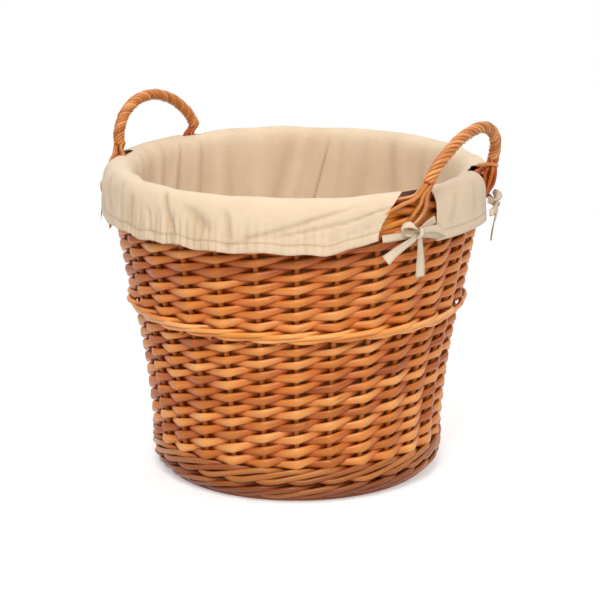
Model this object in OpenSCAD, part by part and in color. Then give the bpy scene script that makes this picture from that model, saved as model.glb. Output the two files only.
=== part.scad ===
// Round willow laundry basket with two roped handles and a removable tied-in cloth liner.
// The wall is a French rand: every weaver starts at its own stake, passes in front of one
// stake and behind the next, and climbs one layer at each stake.
// Millimetres. Origin at the middle of the foot, on the floor. +Z is up, and the two
// handles lie along +X and -X.

/* [Stakes and base] */
// Number of side stakes, two beside each end of a base stick
stake_count = 28; // [20:4:36]
// Diameter of a side stake
stake_d = 7; // [5:0.5:8]
// Diameter of the four thick base sticks
base_stick_d = 9; // [8:0.5:11]
// Diameter of the three thin base sticks that pierce the thick ones
pierce_stick_d = 6; // [4:0.5:6.5]
// Gap between the end of a base stick and the start of the stakes' bend
base_stick_gap = 8; // [7:0.5:15]
// How far in from the upsett the side stakes run between the base sticks
stake_insert = 32; // [15:1:45]
// Diameter of a rod of the base weave
base_rod_d = 5.6; // [4:0.2:6]
// Number of rounds in the base weave, above and below the sticks in turn
base_rounds = 16; // [8:1:17]

/* [Foot and upsett] */
// Diameter of the foot rod
foot_rod_d = 9; // [7:0.5:11]
// Depth worn flat under the foot rod
foot_wear = 0.3; // [0.1:0.1:0.8]
// Radius at which the stakes start to bend upwards
upsett_r = 160; // [150:0.5:168]
// How far the middle of the foot rod lies outside the upsett
foot_out = 5.5; // [3:0.5:8]
// Radius of the bend of each stake at the upsett
upsett_bend_r = 16; // [14:0.5:20]

/* [Wall shape] */
// Outward lean of the wall just above the upsett
lean_low = 2; // [0:0.5:5]
// Outward lean of the wall at the middle wale
lean_wale = 12.8; // [8:0.2:16]
// Outward lean of the wall under the border
lean_top = 7; // [4:0.5:9]

/* [Weave] */
// Layers of weaving below the middle wale
lower_layers = 20; // [12:2:22]
// Height of one layer below the middle wale
lower_layer_h = 8.4; // [8:0.1:9.5]
// Layers of weaving above the middle wale
upper_layers = 14; // [8:2:16]
// Height of one layer above the middle wale
upper_layer_h = 8.4; // [8:0.1:9.5]
// Thickness of a weaver across the wall
weaver_thickness = 6.6; // [5:0.1:7.2]
// Height of a weaver at its butt
weaver_height = 7.5; // [5:0.1:7.7]
// Share of the butt size that is left at a weaver's tip
weaver_taper = 0.86; // [0.7:0.01:1]
// Clearance between a strand and the stake that it passes
weave_gap = 0.8; // [0.75:0.05:0.95]

/* [Wales] */
// Height of a rod of the middle wale
wale_rod_h = 4.8; // [4:0.1:6]
// Height of a rod of the upsett and top wales
stout_rod_h = 7.3; // [5:0.1:7.5]
// Thickness of a wale rod across the wall
wale_rod_w = 5.8; // [4:0.1:6.5]
// Step from one wale rod to the one above it
wale_step_gap = 0.4; // [0.2:0.1:1]
// How far the middle wale stands proud as its rods ride over each other
wale_bulge = 5.5; // [3:0.5:7]

/* [Border] */
// Thickness of a border rod
border_rod_d = 6.6; // [5:0.1:7]
// Height of the border above the top wale
border_h = 17; // [16:0.5:20]

/* [Handles] */
// Stakes between the handle's middle and each of its legs, counted in half gaps
handle_half_gaps = 3; // [3:2:5]
// Diameter of the handle's core rod above the border
handle_core_d = 6; // [5:0.5:7]
// Height of the arch's feet above the border's crest
handle_foot_rise = 13.5; // [8:0.5:18]
// How much further apart the feet stand than the legs, in degrees round the rim
handle_spread = 1.4; // [0:0.1:3]
// Height of the arch above its feet
handle_arch_h = 56; // [45:0.5:70]
// How far the top of the arch leans to the handle's right, as seen from outside
handle_skew = 15; // [-20:0.5:20]
// Share by which the arch narrows towards its top
handle_taper = 0.08; // [0:0.01:0.2]
// How far the feet of the right-hand handle, at +X, stand out from its legs
right_handle_out = 16.5; // [2:0.5:19]
// Outward lean of the right-hand arch
right_handle_lean = 13; // [2:1:20]
// Swing of the right-hand arch round the rim, in degrees
right_handle_swing = 1.3; // [-3:0.1:3]
// How far the feet of the left-hand handle, at -X, stand out from its legs
left_handle_out = 3; // [2:0.5:19]
// Outward lean of the left-hand arch
left_handle_lean = 6; // [2:1:20]
// Swing of the left-hand arch round the rim, in degrees
left_handle_swing = -1.4; // [-3:0.1:3]
// Number of strands roped round each handle
rope_strands = 5; // [4:1:6]
// Thickness of a roping strand
rope_strand_d = 4.2; // [3:0.1:4.6]
// Turns that each strand takes round the handle
rope_turns = 3; // [2:0.25:3.25]
// Thickness of the rods that lash each leg to the border
lashing_d = 4.4; // [3:0.1:5]

/* [Liner] */
// Thickness of the liner cloth with its seams
cloth_t = 1.2; // [0.8:0.1:2]
// Clearance between the liner and the willow
liner_gap = 0.4; // [0.3:0.1:1]
// Clearance of the turned-over cuff outside the border
cuff_gap = 1.6; // [1:0.1:4]
// Drop of the cuffs below the border's crest
cuff_drop = 60; // [45:1:75]
// Gap between a handle leg and the cuff's upper corner, in degrees round the rim
cuff_corner_gap = 5.5; // [5:0.5:18]
// Slant of the cuff's side edges from the vertical
cuff_edge_slant = 41; // [38:1:44]
// Clearance between a flap's side edge and the handle leg, in degrees round the rim
flap_leg_gap = 4.5; // [1.4:0.1:6]
// Height of the stitched hem channel
hem_h = 10; // [8:0.5:14]
// Width of the elastic in the hem
elastic_w = 6; // [3:0.5:7]
// Thickness of the elastic
elastic_t = 1.2; // [0.8:0.1:1.6]

/* [Ties] */
// Width of a tie tape
tape_w = 10; // [7:0.5:13]
// Thickness of a tie tape
tape_t = 1; // [0.6:0.1:1.4]
// Outer radius of each loop of a bow
bow_loop_r = 8; // [6:0.5:10]
// Length of each hanging tail
tail_length = 46; // [30:1:60]
// Radius of the knot
knot_r = 5.5; // [5:0.25:6.5]

/* [Hidden] */
seat = 0.3;                                  // gap left where round pieces rest on each other
stake_step = 360 / stake_count;              // angle from stake to stake
stake_r = stake_d / 2;
leg_angle = handle_half_gaps * stake_step / 2;
swell = 1.05;                                // a rod is this much thicker where it bends

// Heights of the base. The stakes rest on the foot ring at their bend.
foot_rod_r = foot_rod_d / 2;
foot_r = upsett_r + foot_out;                // middle of the foot rod
foot_z = foot_rod_r - foot_wear;
bend_reach = upsett_bend_r + stake_r + foot_rod_r + seat;
bend_z = foot_z + sqrt(pow(bend_reach, 2) - pow(foot_out, 2));
base_z = bend_z - upsett_bend_r;             // middle height of the base sticks
base_top = base_z + base_stick_d / 2 + seat + base_rod_d;

// The stake's line is a bend and two arcs, measured along its length from the bend's start.
bend_turn = 90 - lean_low;
bend_len = upsett_bend_r * bend_turn * PI / 180;
strand_off = stake_r + weave_gap + weaver_thickness / 2;
wale_off = stake_r + weave_gap + wale_rod_w / 2;
stout_step = stout_rod_h + wale_step_gap;
wale_step = wale_rod_h + wale_step_gap;

// Upsett wale: two rounds. The first lies round the bend, the second just above it.
outer_bend_r = upsett_bend_r + wale_off;
foot_side = asin(foot_out / bend_reach);
first_low = foot_side + (foot_rod_r + seat + stout_rod_h / 2) / outer_bend_r * 180 / PI;
first_step = stout_step / outer_bend_r * 180 / PI;
first_mid = (first_low + first_step) * upsett_bend_r * PI / 180;
outer_used = outer_bend_r * (bend_turn - first_low - 2 * first_step) * PI / 180;
second_mid = bend_len + 2 * stout_step - outer_used;

// Heights along the stake of each band, stacked from the upsett to the border
lower_start = second_mid + stout_step + stout_rod_h / 2 + wale_step_gap;
lower_end = lower_start + lower_layers * lower_layer_h;
wale_mid = lower_end + wale_step + wale_rod_h / 2 + wale_step_gap;
upper_start = wale_mid + wale_step + wale_rod_h / 2 + wale_step_gap;
upper_end = upper_start + upper_layers * upper_layer_h;
top_mid = upper_end + stout_step + stout_rod_h / 2;
stake_end = top_mid + stout_step + stout_rod_h / 2 + wale_step_gap;
crest = stake_end + border_h + border_rod_d / 2;

// Stake line: [start point, start angle, end angle, length] of each stretch
bend_arc = [[upsett_r, base_z], 0, bend_turn, bend_len];
low_arc = [arc_end(bend_arc), bend_turn, 90 - lean_wale, wale_mid - bend_len];
top_arc = [arc_end(low_arc), 90 - lean_wale, 90 - lean_top, stake_end - wale_mid];
end_line = [arc_end(top_arc), 90 - lean_top, 90 - lean_top, crest];

function arc_radius(arc) = arc[3] / ((arc[2] - arc[1]) * PI / 180);
function arc_point(arc, s) =
    let (a = arc[1] + (arc[2] - arc[1]) * s / arc[3])
    arc[1] == arc[2]
        ? arc[0] + s * [cos(a), sin(a)]
        : arc[0] + arc_radius(arc) * [sin(a) - sin(arc[1]), cos(arc[1]) - cos(a)];
function arc_end(arc) = arc_point(arc, arc[3]);
function arc_at(s) =
    s < bend_len ? [bend_arc, s]
    : s < wale_mid ? [low_arc, s - bend_len]
    : s < stake_end ? [top_arc, s - wale_mid]
    : [end_line, s - stake_end];
function wall_angle(s) =
    let (k = arc_at(s)) k[0][1] + (k[0][2] - k[0][1]) * k[1] / k[0][3];
// Point [r, z] at length s along the stake's line and off outside it
function wall_point(s, off = 0) =
    let (k = arc_at(s), a = wall_angle(s))
    arc_point(k[0], k[1]) + off * [sin(a), -cos(a)];
function round_axis(p, angle) = [p[0] * cos(angle), p[0] * sin(angle), p[1]];

// ---- Strands: four-sided rods swept through a list of points ----

function unit(v) = v / norm(v);
function outward(p) = unit([p[0], p[1], 0]);
function along(path, i, closed) =
    let (n = len(path), a = closed ? (i + n - 1) % n : max(i - 1, 0),
        b = closed ? (i + 1) % n : min(i + 1, n - 1))
    unit(path[b] - path[a]);
// Corners of the rod at point i, with half width w across the wall and half height h
function rod_ring(path, i, closed, w, h) =
    let (t = along(path, i, closed), side = unit(cross(t, outward(path[i]))),
        out = cross(side, t), p = path[i])
    [p + out * w, p + side * h, p - out * w, p - side * h];
function ring_faces(n, sides, first, closed) = [
    for (i = [0:n - (closed ? 1 : 2)]) for (k = [0:sides - 1])
        let (a = first + i * sides, b = first + (i + 1) % n * sides, m = (k + 1) % sides)
        each [[a + k, b + k, b + m], [a + k, b + m, a + m]]
];
function end_faces(n, sides, first) = [
    for (k = [1:sides - 2])
        let (last = first + (n - 1) * sides)
        each [[first, first + k, first + k + 1], [last, last + k + 1, last + k]]
];

// Draws many rods at once. Each is a list of rings, and all have the same number of rings.
module rods(rings, closed = false) {
    n = len(rings[0]);
    sides = len(rings[0][0]);
    polyhedron(
        points = [for (rod = rings) for (ring = rod) for (p = ring) p],
        faces = [for (i = [0:len(rings) - 1])
            each concat(ring_faces(n, sides, i * n * sides, closed),
                closed ? [] : end_faces(n, sides, i * n * sides))],
        convexity = 10);
}

// One weaver of the French rand: layer m at the stake m steps on from its own
function weaver_path(first, start, layers, pitch) = [
    for (m = [0:layers - 1])
        round_axis(wall_point(start + (m + 0.5) * pitch, m % 2 == 0 ? strand_off : -strand_off),
            (first + m + 0.5) * stake_step)
];
function weaver_rings(first, start, layers, pitch) =
    let (path = weaver_path(first, start, layers, pitch))
    [for (m = [0:layers - 1])
        let (k = 1 - (1 - weaver_taper) * m / (layers - 1))
        rod_ring(path, m, false, weaver_thickness / 2, weaver_height / 2 * k)];
module french_rand(start, layers, pitch)
    rods([for (j = [0:stake_count - 1]) weaver_rings(j, start, layers, pitch)]);

// Four-rod wale: each rod passes in front of three stakes and behind the fourth, rising
// over the others outside and dropping back while it is behind.
function wale_path(rod, mid, step, bulge) = [
    for (j = [0:stake_count - 1])
        let (turn = (j + rod) % 4, rise = [0, -1, 0, 1][turn],
            off = turn == 0 ? -wale_off : wale_off + bulge * [0, 0.1, 0.55, 1][turn])
        round_axis(wall_point(mid + rise * step, off), (j + 0.5) * stake_step)
];
function wale_rings(rod, mid, step, bulge, h) =
    let (path = wale_path(rod, mid, step, bulge))
    [for (j = [0:stake_count - 1]) rod_ring(path, j, true, wale_rod_w / 2, h / 2)];
module wale(mid, step, bulge, h)
    rods([for (rod = [0:3]) wale_rings(rod, mid, step, bulge, h)], true);

// ---- Round rods that follow an arc of the stake's line ----

module arc_rod(arc, d) {
    straight = abs(arc[2] - arc[1]) < 0.3;
    r = straight ? 0 : arc_radius(arc);
    turn = r > 0 ? -90 : 90;
    if (straight)
        translate([arc[0][0], 0, arc[0][1]]) rotate([0, 90 - arc[1], 0])
            cylinder(d = d, h = arc[3], $fn = 24);
    else
        translate([arc[0][0] - r * sin(arc[1]), 0, arc[0][1] + r * cos(arc[1])])
            rotate([90, 0, 0])
                rotate_extrude(angle = abs(arc[2] - arc[1]),
                    start = min(arc[1], arc[2]) + turn, $fn = 360)
                    translate([abs(r), 0]) circle(d = d, $fn = 24);
}

module at_stake(j) rotate([0, 0, (j + 0.5) * stake_step]) children();
function is_leg(j) =
    let (a = (j + 0.5) * stake_step,
        legs = [leg_angle, 180 - leg_angle, 180 + leg_angle, 360 - leg_angle])
    min([for (leg = legs) abs(a - leg)]) < stake_step / 4;

// ---- Base ----

fan_r = 42;                                  // radius at which the base sticks fan out
stick_sides = 8;
stick_pitch = base_stick_d + seat;
pierce_pitch = pierce_stick_d + 2 * seat;
// Corners of a level stick round point p, as seen along its heading
function stick_ring(p, heading, d) = [
    for (k = [0:stick_sides - 1])
        let (w = (k + 0.5) * 360 / stick_sides, r = d / 2 / cos(180 / stick_sides))
        p + r * [sin(heading) * cos(w), -cos(heading) * cos(w), -sin(w)]
];
// A stick that runs straight through the middle and fans out at both ends
function stick_rings(offset, angle, d) =
    let (reach = upsett_r - base_stick_gap, tip = reach * [cos(angle), sin(angle)],
        turn = atan2(tip[1] - offset, tip[0] - fan_r))
    [stick_ring([-tip[0], tip[1], base_z], -turn, d),
        stick_ring([-fan_r, offset, base_z], -turn / 2, d),
        stick_ring([fan_r, offset, base_z], turn / 2, d),
        stick_ring([tip[0], tip[1], base_z], turn, d)];
module base_sticks() color("#b97b3d") {
    stick_step = 2 * stake_step;
    difference() {
        rods([for (k = [-1.5:1.5]) stick_rings(k * stick_pitch, k * stick_step, base_stick_d)]);
        for (k = [-1:1])
            translate([k * pierce_pitch, 0, base_z])
                cube([pierce_stick_d + seat, 5 * stick_pitch, pierce_stick_d + seat],
                    center = true);
    }
    rotate([0, 0, 90])
        rods([for (k = [-1:1]) stick_rings(k * pierce_pitch, k * stick_step, pierce_stick_d)]);
}
module base_weave() color("#c4843f") {
    first = fan_r + base_stick_d;
    last = upsett_r - stake_r - 2 * base_rod_d;
    for (i = [0:base_rounds - 1])
        translate([0, 0, base_z + (i % 2 == 0 ? 1 : -1) *
            (base_stick_d / 2 + seat + base_rod_d / 2)])
            rotate_extrude($fn = 96)
                translate([first + (last - first) * i / (base_rounds - 1), 0])
                    circle(d = base_rod_d, $fn = 16);
}
module foot_ring() color("#a8692f") rotate_extrude($fn = 180) intersection() {
    translate([foot_r, foot_z]) circle(d = foot_rod_d, $fn = 32);
    translate([foot_r - foot_rod_d, 0]) square([2 * foot_rod_d, 2 * foot_rod_d]);
}

// ---- Wall ----

module side_stake(whole) {
    translate([upsett_r - stake_insert, 0, base_z]) rotate([0, 90, 0])
        cylinder(d = stake_d, h = stake_insert, $fn = 24);
    arc_rod(bend_arc, stake_d);
    arc_rod(low_arc, stake_d);
    if (whole) arc_rod(top_arc, stake_d);
    for (arc = whole ? [bend_arc, low_arc, top_arc] : [bend_arc, low_arc])
        swelling(arc[0], stake_d);
}
// The slight swelling where a rod has been bent or scarfed
module swelling(p, d) translate([p[0], 0, p[1]]) sphere(d = d * swell, $fn = 32);
module side_stakes() color("#b5763a")
    for (j = [0:stake_count - 1]) at_stake(j) side_stake(!is_leg(j));
module upsett_wale() color("#c07f3c") {
    wale(first_mid, stout_step * upsett_bend_r / outer_bend_r, 0, stout_rod_h);
    wale(second_mid, stout_step, 0, stout_rod_h);
}
module lower_weavers() color("#cf8f4b") french_rand(lower_start, lower_layers, lower_layer_h);
module middle_wale() color("#d9a062") wale(wale_mid, wale_step, wale_bulge, wale_rod_h);
module upper_weavers() color("#cf8f4b") french_rand(upper_start, upper_layers, upper_layer_h);
module top_wale() color("#c07f3c") wale(top_mid, stout_step, 0, stout_rod_h);

// ---- Border: each stake turns down behind one, in front of two and in behind the next ----

border_off = stake_r + weave_gap + border_rod_d / 2;
border_low = border_rod_d / 2 + seat;
border_high = border_low + border_rod_d + seat;
// [stake steps on, offset across the wall, height above the stake's end]
border_route = [
    [0.00, 0, seat], [0.00, 0, 0.6 * border_rod_d],
    [0.40, -border_off * 0.7, border_high - 0.3 * border_rod_d],
    [1.00, -border_off, border_high], [1.50, 0, border_h],
    [2.00, border_off, border_high], [2.50, border_off * 1.1, (border_low + border_high) / 2],
    [3.00, border_off, border_low], [3.50, 0, border_low - 0.2 * border_rod_d],
    [3.90, -border_off, border_low]
];
function border_path(j) = [
    for (k = border_route)
        round_axis(wall_point(stake_end + k[2], k[1]), (j + 0.5 + k[0]) * stake_step)
];
function border_rings(j) =
    let (path = border_path(j))
    [for (i = [0:len(path) - 1])
        rod_ring(path, i, false, border_rod_d / 2, border_rod_d / 2)];
module rim_border() color("#c98847")
    rods([for (j = [0:stake_count - 1]) if (!is_leg(j)) border_rings(j)]);

// ---- Handles ----

// A handle's two legs stand in the weave in place of a stake. Above the border each leg turns
// out to a foot of the arch, which is a skewed half oval.
right_handle = [right_handle_out, right_handle_lean, right_handle_swing];
left_handle = [left_handle_out, left_handle_lean, left_handle_swing];
leg_top = wall_point(crest);
foot_angle = leg_angle + handle_spread;
leg_line = [arc_end(top_arc), 90 - lean_top, 90 - lean_top, crest - stake_end];
arch_rings = 23;
core_sides = 6;
rope_start = (rope_strand_d + stake_r) / (PI * handle_arch_h);   // share of the arch
function turned(p, a) =
    [p[0] * cos(a) - p[1] * sin(a), p[0] * sin(a) + p[1] * cos(a), p[2]];
// Middle line of the arch in its own plane, at share t of its half turn
function arch_line(t, foot) =
    let (a = 180 * t, s = sin(a))
    [cos(a) * foot * sin(foot_angle) * (1 - handle_taper * s) + handle_skew * s,
        handle_arch_h * s];
// Point beside the arch of a handle: off from its middle line in its plane, side across it
function on_arch(handle, t, off = 0, side = 0) =
    let (foot = leg_top[0] + handle[0], lean = handle[1], p = arch_line(t, foot),
        line = unit(arch_line(t + 0.01, foot) - arch_line(t - 0.01, foot)),
        q = p + off * [line[1], -line[0]])
    turned([foot * cos(foot_angle) + side * cos(lean) + q[1] * sin(lean), q[0],
        leg_top[1] + handle_foot_rise - side * sin(lean) + q[1] * cos(lean)], handle[2]);
// Share of the arch at a ring of its core; the roping has its rings at the same places
function arch_share(i) = i == 0 ? 0 : i == arch_rings - 1 ? 1
    : rope_start + (1 - 2 * rope_start) * (i - 1) / (arch_rings - 3);
function core_ring(handle, t) = [
    for (k = [0:core_sides - 1])
        let (w = -360 * k / core_sides)
        on_arch(handle, t, handle_core_d / 2 * cos(w), handle_core_d / 2 * sin(w))
];
function leg_ring(handle, side) =
    let (top = round_axis(leg_top, side * leg_angle), foot = on_arch(handle, side > 0 ? 0 : 1),
        line = side * unit(foot - top), across = side * unit(cross([0, 1, 0], line)))
    [for (k = [0:core_sides - 1])
        let (w = -360 * k / core_sides)
        top + handle_core_d / 2 * (cos(w) * cross(line, across) + sin(w) * across)];
module handle_bow(handle) {
    for (side = [-1, 1]) rotate([0, 0, side * leg_angle]) {
        arc_rod(top_arc, stake_d);
        arc_rod(leg_line, handle_core_d);
        swelling(leg_line[0], stake_d);
        swelling(leg_top, handle_core_d * swell);
    }
    rods([[leg_ring(handle, 1), for (i = [0:arch_rings - 1]) core_ring(handle, arch_share(i)),
        leg_ring(handle, -1)]]);
}
// Corners of a roping strand: two against the core, kept clear of it between the rings, and
// one outside
rope_spread = 160 / rope_strands;
rope_in = (handle_core_d / 2 + seat / 2)
    / cos(rope_spread) / cos(180 * rope_turns / (arch_rings - 3));
rope_out = handle_core_d / 2 + seat / 2 + rope_strand_d;
function rope_corner(handle, t, r, w) = on_arch(handle, t, r * cos(w), r * sin(w));
function rope_ring(handle, i, first) =
    let (t = arch_share(i), w = first - 360 * rope_turns * t)
    [rope_corner(handle, t, rope_in, w + rope_spread), rope_corner(handle, t, rope_out, w),
        rope_corner(handle, t, rope_in, w - rope_spread)];
module handle_roping(handle)
    rods([for (k = [0:rope_strands - 1])
        [for (i = [1:arch_rings - 2]) rope_ring(handle, i, 360 * k / rope_strands)]]);
// Two rods bind each leg: one runs down outside the border, one lies along its crest.
lashing_out = border_off * 1.03 + border_rod_d / 2 + seat + lashing_d / 2;
lashing_rest = border_h + (border_rod_d + lashing_d) / 2;  // middle of a rod laid on the border
lashing_routes = [
    [[0.20, border_off, border_h + 1.6 * lashing_d],
        [0.28, lashing_out, border_h - 0.7 * lashing_d],
        [0.34, lashing_out, border_low], [0.52, lashing_out, -border_low],
        [0.86, lashing_out, -2 * border_low]],
    [[0.20, 0.2 * lashing_d, lashing_rest + 0.8 * lashing_d],
        [0.34, 0.2 * lashing_d, lashing_rest + 0.06 * lashing_d],
        [0.75, 0.1 * lashing_d, lashing_rest + 0.04 * lashing_d],
        [1.15, 0, lashing_rest + 0.02 * lashing_d],
        [1.50, -0.2 * lashing_d, lashing_rest]]
];
function lashing_rings(route, side) =
    let (path = [for (k = route)
        round_axis(wall_point(stake_end + k[2], k[1]), side * (leg_angle + k[0] * stake_step))])
    [for (i = [0:len(path) - 1])
        rod_ring(path, i, false, lashing_d / 2, lashing_d / 2)];
module handle_lashings()
    for (side = [-1, 1]) rods([for (route = lashing_routes) lashing_rings(route, side)]);

module handle_bow_right() color("#b97b3d") handle_bow(right_handle);
module handle_bow_left() color("#b97b3d") rotate([0, 0, 180]) handle_bow(left_handle);
module handle_roping_right() color("#d19a5c") handle_roping(right_handle);
module handle_roping_left() color("#d19a5c") rotate([0, 0, 180]) handle_roping(left_handle);
module handle_lashings_right() color("#d9a868") handle_lashings();
module handle_lashings_left() color("#d9a868") rotate([0, 0, 180]) handle_lashings();

// ---- Liner ----

liner_off = -(strand_off + weaver_thickness / 2 + liner_gap);
border_middle = wall_point(stake_end)[0];
cuff_r = border_off * 1.1 + border_rod_d / 2 + cuff_gap;   // inside radius of the turn-over
crest_z = wall_point(crest)[1] + 2 * seat + lashing_d;     // the cloth rides over the lashings
turn_z = crest_z - cuff_r;
side_top = turn_z;
panel_stations = 8;
panel_inset = 6;                             // of the base panel's seam from the upsett
panel_join = 4;                              // height left at each end of the curved part
function panel_line(off) = [
    for (i = [0:panel_stations])
        let (s = bend_len + panel_join + (wale_mid * 1.6 - bend_len) * i / panel_stations)
        wall_point(s, off)
];
function below(points, z) = [for (p = points) if (p[1] < z - panel_join) p];
panel_low = [upsett_r - panel_inset, base_top + seat];
panel_top_r = border_middle - cuff_r - cloth_t;
module liner_base_panel() color("#ece0c8") translate([0, 0, panel_low[1]])
    cylinder(r = panel_low[0] - seat, h = cloth_t, $fn = 120);
module liner_side_panel() color("#efe4cf") rotate_extrude($fn = 120) polygon(concat(
    [panel_low], below(panel_line(liner_off), side_top), [[panel_top_r + cloth_t, side_top]],
    [[panel_top_r, side_top]], reverse_list(below(panel_line(liner_off - cloth_t), side_top)),
    [panel_low + [0, cloth_t]]));
function reverse_list(v) = [for (i = [len(v) - 1:-1:0]) v[i]];

// Section of a cuff: over the border in a half circle and down outside
hem_z = crest_z + cloth_t - cuff_drop;
hem_t = elastic_t + 2 * seat + cloth_t;
module cuff_section(hem) translate([border_middle, 0]) {
    intersection() {
        translate([0, turn_z]) difference() {
            circle(r = cuff_r + cloth_t, $fn = 64);
            circle(r = cuff_r, $fn = 64);
        }
        translate([-2 * cuff_r, turn_z]) square([4 * cuff_r, 2 * cuff_r]);
    }
    translate([cuff_r, hem_z]) square([cloth_t, turn_z - hem_z]);
    if (hem) difference() {
        translate([cuff_r, hem_z]) square([cloth_t + hem_t, hem_h]);
        translate([cuff_r + cloth_t, hem_z + cloth_t])
            square([elastic_t + 2 * seat, hem_h - 2 * cloth_t]);
    }
}
cuff_corner = leg_angle + cuff_corner_gap;
// Angle of the cuff's side edge at a drop below the crest
function cuff_edge(drop) =
    cuff_corner + drop * tan(cuff_edge_slant) / border_middle * 180 / PI;
module cuff() {
    far = 2 * border_middle;
    difference() {
        rotate([0, 0, cuff_corner - 180]) rotate_extrude(angle = 180 - 2 * cuff_corner, $fn = 180)
            cuff_section(true);
        for (side = [0, 1]) mirror([side, 0, 0])
            rotate([0, 0, -cuff_corner]) translate([0, 0, crest_z])
                rotate([-cuff_edge_slant, 0, 0]) translate([0, 0, -far])
                    cube([far, far, far]);
    }
}
elastic_inset = 8;                           // from the hem's ends, in degrees round the rim
hem_corner = cuff_edge(cuff_drop);
module elastic() {
    first = hem_corner + elastic_inset;
    rotate([0, 0, first - 180])
        rotate_extrude(angle = 180 - 2 * first, $fn = 180)
            translate([border_middle + cuff_r + cloth_t + seat, hem_z + (hem_h - elastic_w) / 2])
                square([elastic_t, elastic_w]);
}
flap_half = leg_angle - flap_leg_gap;
module flap() rotate([0, 0, -flap_half]) rotate_extrude(angle = 2 * flap_half, $fn = 180)
    cuff_section(false);

module cuff_front() color("#f1e7d3") cuff();
module cuff_back() color("#f1e7d3") rotate([0, 0, 180]) cuff();
module flap_right() color("#f1e7d3") flap();
module flap_left() color("#f1e7d3") rotate([0, 0, 180]) flap();
module elastic_front() color("#f7f7f2") elastic();
module elastic_back() color("#f7f7f2") rotate([0, 0, 180]) elastic();

// ---- Ties: a tape from the cuff and a tape from the flap, tied in a bow over each leg ----

tie_r = border_middle + cuff_r + cloth_t + seat;           // the tapes lie on the cloth
tie_z = hem_z + hem_h + seat + tape_w / 2;                 // just above the hem
tie_angle = leg_angle + 5;
tape_lap = 3;                                // lap of a tape on the cloth, in degrees
tail_splay = 22;                             // lean of each hanging tail from the vertical
knot_at = tie_r + (tape_t + knot_r) / 2;                   // clear of the willow behind
// Flat tape round the basket between two angles, at radius r
module flat_tape(r, from, to) rotate([0, 0, from])
    rotate_extrude(angle = to - from, $fn = 180)
        translate([r, tie_z - tape_w / 2]) square([tape_t, tape_w]);
module at_knot() rotate([0, 0, tie_angle]) translate([knot_at, 0, tie_z]) children();
module knot(grow = 0, turn = 0) at_knot() rotate(turn) sphere(r = knot_r + grow, $fn = 32);
module bow_loop(side) at_knot()
    translate([knot_r * 0.35, side * (knot_r + bow_loop_r - tape_t), -tape_w / 2])
        difference() {
            cylinder(r = bow_loop_r, h = tape_w, $fn = 40);
            translate([0, 0, -1]) cylinder(r = bow_loop_r - tape_t, h = tape_w + 2, $fn = 40);
        }
module bow_tail(side) at_knot() rotate([side * tail_splay, 0, 0])
    translate([tape_t / 2 + seat + (side > 0 ? 0 : tape_t + seat),
            -tape_w / 2, -tail_length - knot_r / 2])
        cube([tape_t, tape_w, tail_length]);
module cuff_tape() difference() {
    union() {
        flat_tape(tie_r, tie_angle, cuff_edge(crest_z - tie_z) + tape_lap);
        bow_loop(1);
        bow_tail(1);
    }
    knot(seat);
}
module flap_tape() {
    knot(turn = 90);
    difference() {
        union() {
            flat_tape(tie_r, flap_half - tape_lap, tie_angle);
            bow_loop(-1);
            bow_tail(-1);
        }
        knot(-seat, 90);
    }
}
module place_tie(right, front)
    mirror([right ? 0 : 1, 0, 0]) mirror([0, front ? 1 : 0, 0]) children();
module tie_front_right_cuff() color("#ddd6bb") place_tie(true, true) cuff_tape();
module tie_front_right_flap() color("#ddd6bb") place_tie(true, true) flap_tape();
module tie_back_right_cuff() color("#ddd6bb") place_tie(true, false) cuff_tape();
module tie_back_right_flap() color("#ddd6bb") place_tie(true, false) flap_tape();
module tie_front_left_cuff() color("#ddd6bb") place_tie(false, true) cuff_tape();
module tie_front_left_flap() color("#ddd6bb") place_tie(false, true) flap_tape();
module tie_back_left_cuff() color("#ddd6bb") place_tie(false, false) cuff_tape();
module tie_back_left_flap() color("#ddd6bb") place_tie(false, false) flap_tape();

base_sticks();
base_weave();
side_stakes();
foot_ring();
upsett_wale();
lower_weavers();
middle_wale();
upper_weavers();
top_wale();
rim_border();
handle_bow_right();
handle_bow_left();
handle_roping_right();
handle_roping_left();
handle_lashings_right();
handle_lashings_left();
liner_base_panel();
liner_side_panel();
cuff_front();
cuff_back();
flap_right();
flap_left();
elastic_front();
elastic_back();
tie_front_right_cuff();
tie_front_right_flap();
tie_back_right_cuff();
tie_back_right_flap();
tie_front_left_cuff();
tie_front_left_flap();
tie_back_left_cuff();
tie_back_left_flap();
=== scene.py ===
"""Round willow laundry basket with a tied-in cloth liner: its looks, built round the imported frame.

Metres, +Z up, handles along +X and -X. Angles run anticlockwise from +X as seen from above.
"""

import math

import bpy
import numpy as np
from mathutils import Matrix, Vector


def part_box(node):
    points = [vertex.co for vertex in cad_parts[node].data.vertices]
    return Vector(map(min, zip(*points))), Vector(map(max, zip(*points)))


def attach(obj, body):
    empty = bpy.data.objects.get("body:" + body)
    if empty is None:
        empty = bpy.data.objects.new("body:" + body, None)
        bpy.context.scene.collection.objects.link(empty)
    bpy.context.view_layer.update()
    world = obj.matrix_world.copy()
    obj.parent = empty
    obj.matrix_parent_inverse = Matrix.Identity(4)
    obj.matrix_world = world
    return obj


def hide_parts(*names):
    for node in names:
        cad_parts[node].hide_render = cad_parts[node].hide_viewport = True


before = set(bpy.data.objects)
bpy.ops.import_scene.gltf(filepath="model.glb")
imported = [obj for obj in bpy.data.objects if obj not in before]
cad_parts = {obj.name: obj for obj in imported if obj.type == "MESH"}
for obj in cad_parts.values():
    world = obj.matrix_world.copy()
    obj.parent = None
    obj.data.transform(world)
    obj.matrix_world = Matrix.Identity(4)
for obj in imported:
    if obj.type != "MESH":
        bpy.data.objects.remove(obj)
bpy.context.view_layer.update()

MM = 0.001
RNG = np.random.default_rng(28)

# ---- camera, floor and light

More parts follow.
